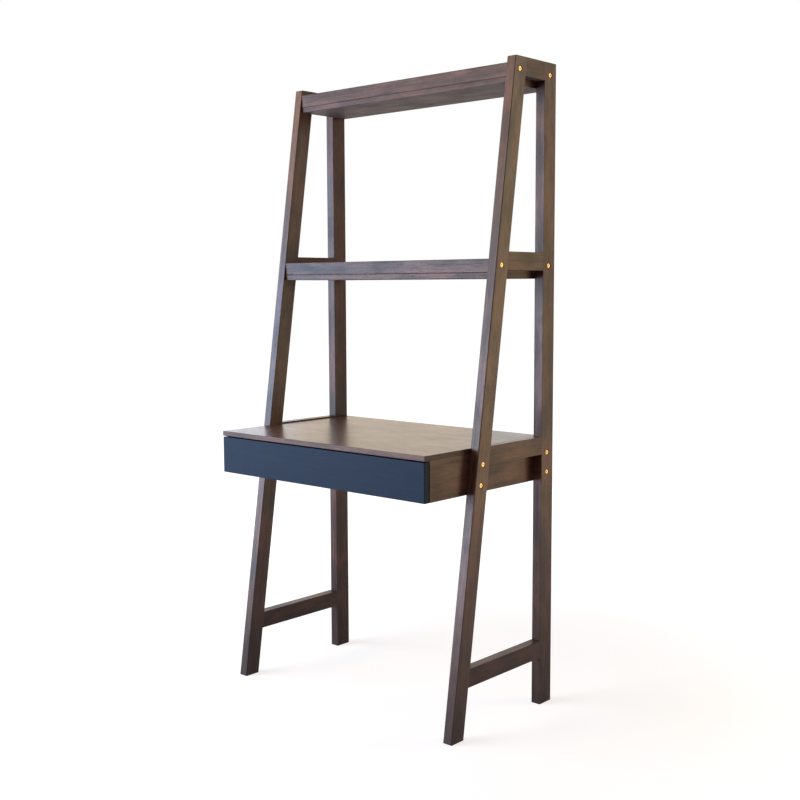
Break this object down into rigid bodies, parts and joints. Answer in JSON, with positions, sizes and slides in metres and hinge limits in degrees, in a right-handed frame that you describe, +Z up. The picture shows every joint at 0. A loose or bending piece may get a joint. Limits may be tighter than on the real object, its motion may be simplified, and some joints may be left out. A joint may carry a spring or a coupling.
{
  "type": "ladder desk",
  "caption": "Ladder desk: two leaning open side frames carry tray shelves above a writing board with a wide handleless drawer on ball slides.",
  "frame": {"origin": "on the floor, under the middle of the desk's width and depth", "axes": "+X to the right as seen from the front, +Y to the back, +Z up"},
  "size_m": [0.836, 0.52, 1.78],
  "materials": {
    "walnut_stain": "dark walnut stain, satin lacquer",
    "navy_paint": "navy paint, satin",
    "pale_wood": "clear sealed, matt",
    "zinc_steel": "zinc plated",
    "brass_plate": "brass plated, polished"
  },
  "bodies": {
    "frame": {"case_back": "walnut_stain", "desktop": "walnut_stain", "left_case_side": "walnut_stain", "left_case_slide": "zinc_steel", "left_desk_rail": "walnut_stain", "left_frame_bolts": "brass_plate", "left_front_post": "walnut_stain", "left_mid_rail": "walnut_stain", "left_rear_post": "walnut_stain", "left_stretcher": "walnut_stain", "left_threaded_inserts": "brass_plate", "left_top_rail": "walnut_stain", "mid_shelf_back_lip": "walnut_stain", "mid_shelf_board": "walnut_stain", "mid_shelf_front_lip": "walnut_stain", "mid_shelf_left_cleat": "walnut_stain", "mid_shelf_right_cleat": "walnut_stain", "right_case_side": "walnut_stain", "right_case_slide": "zinc_steel", "right_desk_rail": "walnut_stain", "right_frame_bolts": "brass_plate", "right_front_post": "walnut_stain", "right_mid_rail": "walnut_stain", "right_rear_post": "walnut_stain", "right_stretcher": "walnut_stain", "right_threaded_inserts": "brass_plate", "right_top_rail": "walnut_stain", "top_shelf_back_lip": "walnut_stain", "top_shelf_board": "walnut_stain", "top_shelf_front_lip": "walnut_stain", "top_shelf_left_cleat": "walnut_stain", "top_shelf_right_cleat": "walnut_stain"},
    "drawer": {"drawer_back": "pale_wood", "drawer_bottom": "pale_wood", "drawer_box_front": "pale_wood", "drawer_front": "navy_paint", "drawer_left_side": "pale_wood", "drawer_right_side": "pale_wood", "left_drawer_slide": "zinc_steel", "right_drawer_slide": "zinc_steel"},
    "left_ball_cage": {"left_ball_cage": "zinc_steel", "left_balls": "zinc_steel"},
    "right_ball_cage": {"right_ball_cage": "zinc_steel", "right_balls": "zinc_steel"}
  },
  "joints": [
    {"name": "drawer_slide", "type": "slide", "parent": "frame", "child": "drawer", "axis": [0, -1, 0], "range_m": [0, 0.29]},
    {"name": "left_cage_roll", "type": "slide", "parent": "frame", "child": "left_ball_cage", "axis": [0, -1, 0], "range_m": [0, 0.145]},
    {"name": "right_cage_roll", "type": "slide", "parent": "frame", "child": "right_ball_cage", "axis": [0, -1, 0], "range_m": [0, 0.145]}
  ],
  "couplings": [
    {"joint": "left_cage_roll", "follows": "drawer_slide", "ratio": 0.5},
    {"joint": "right_cage_roll", "follows": "drawer_slide", "ratio": 0.5}
  ]
}
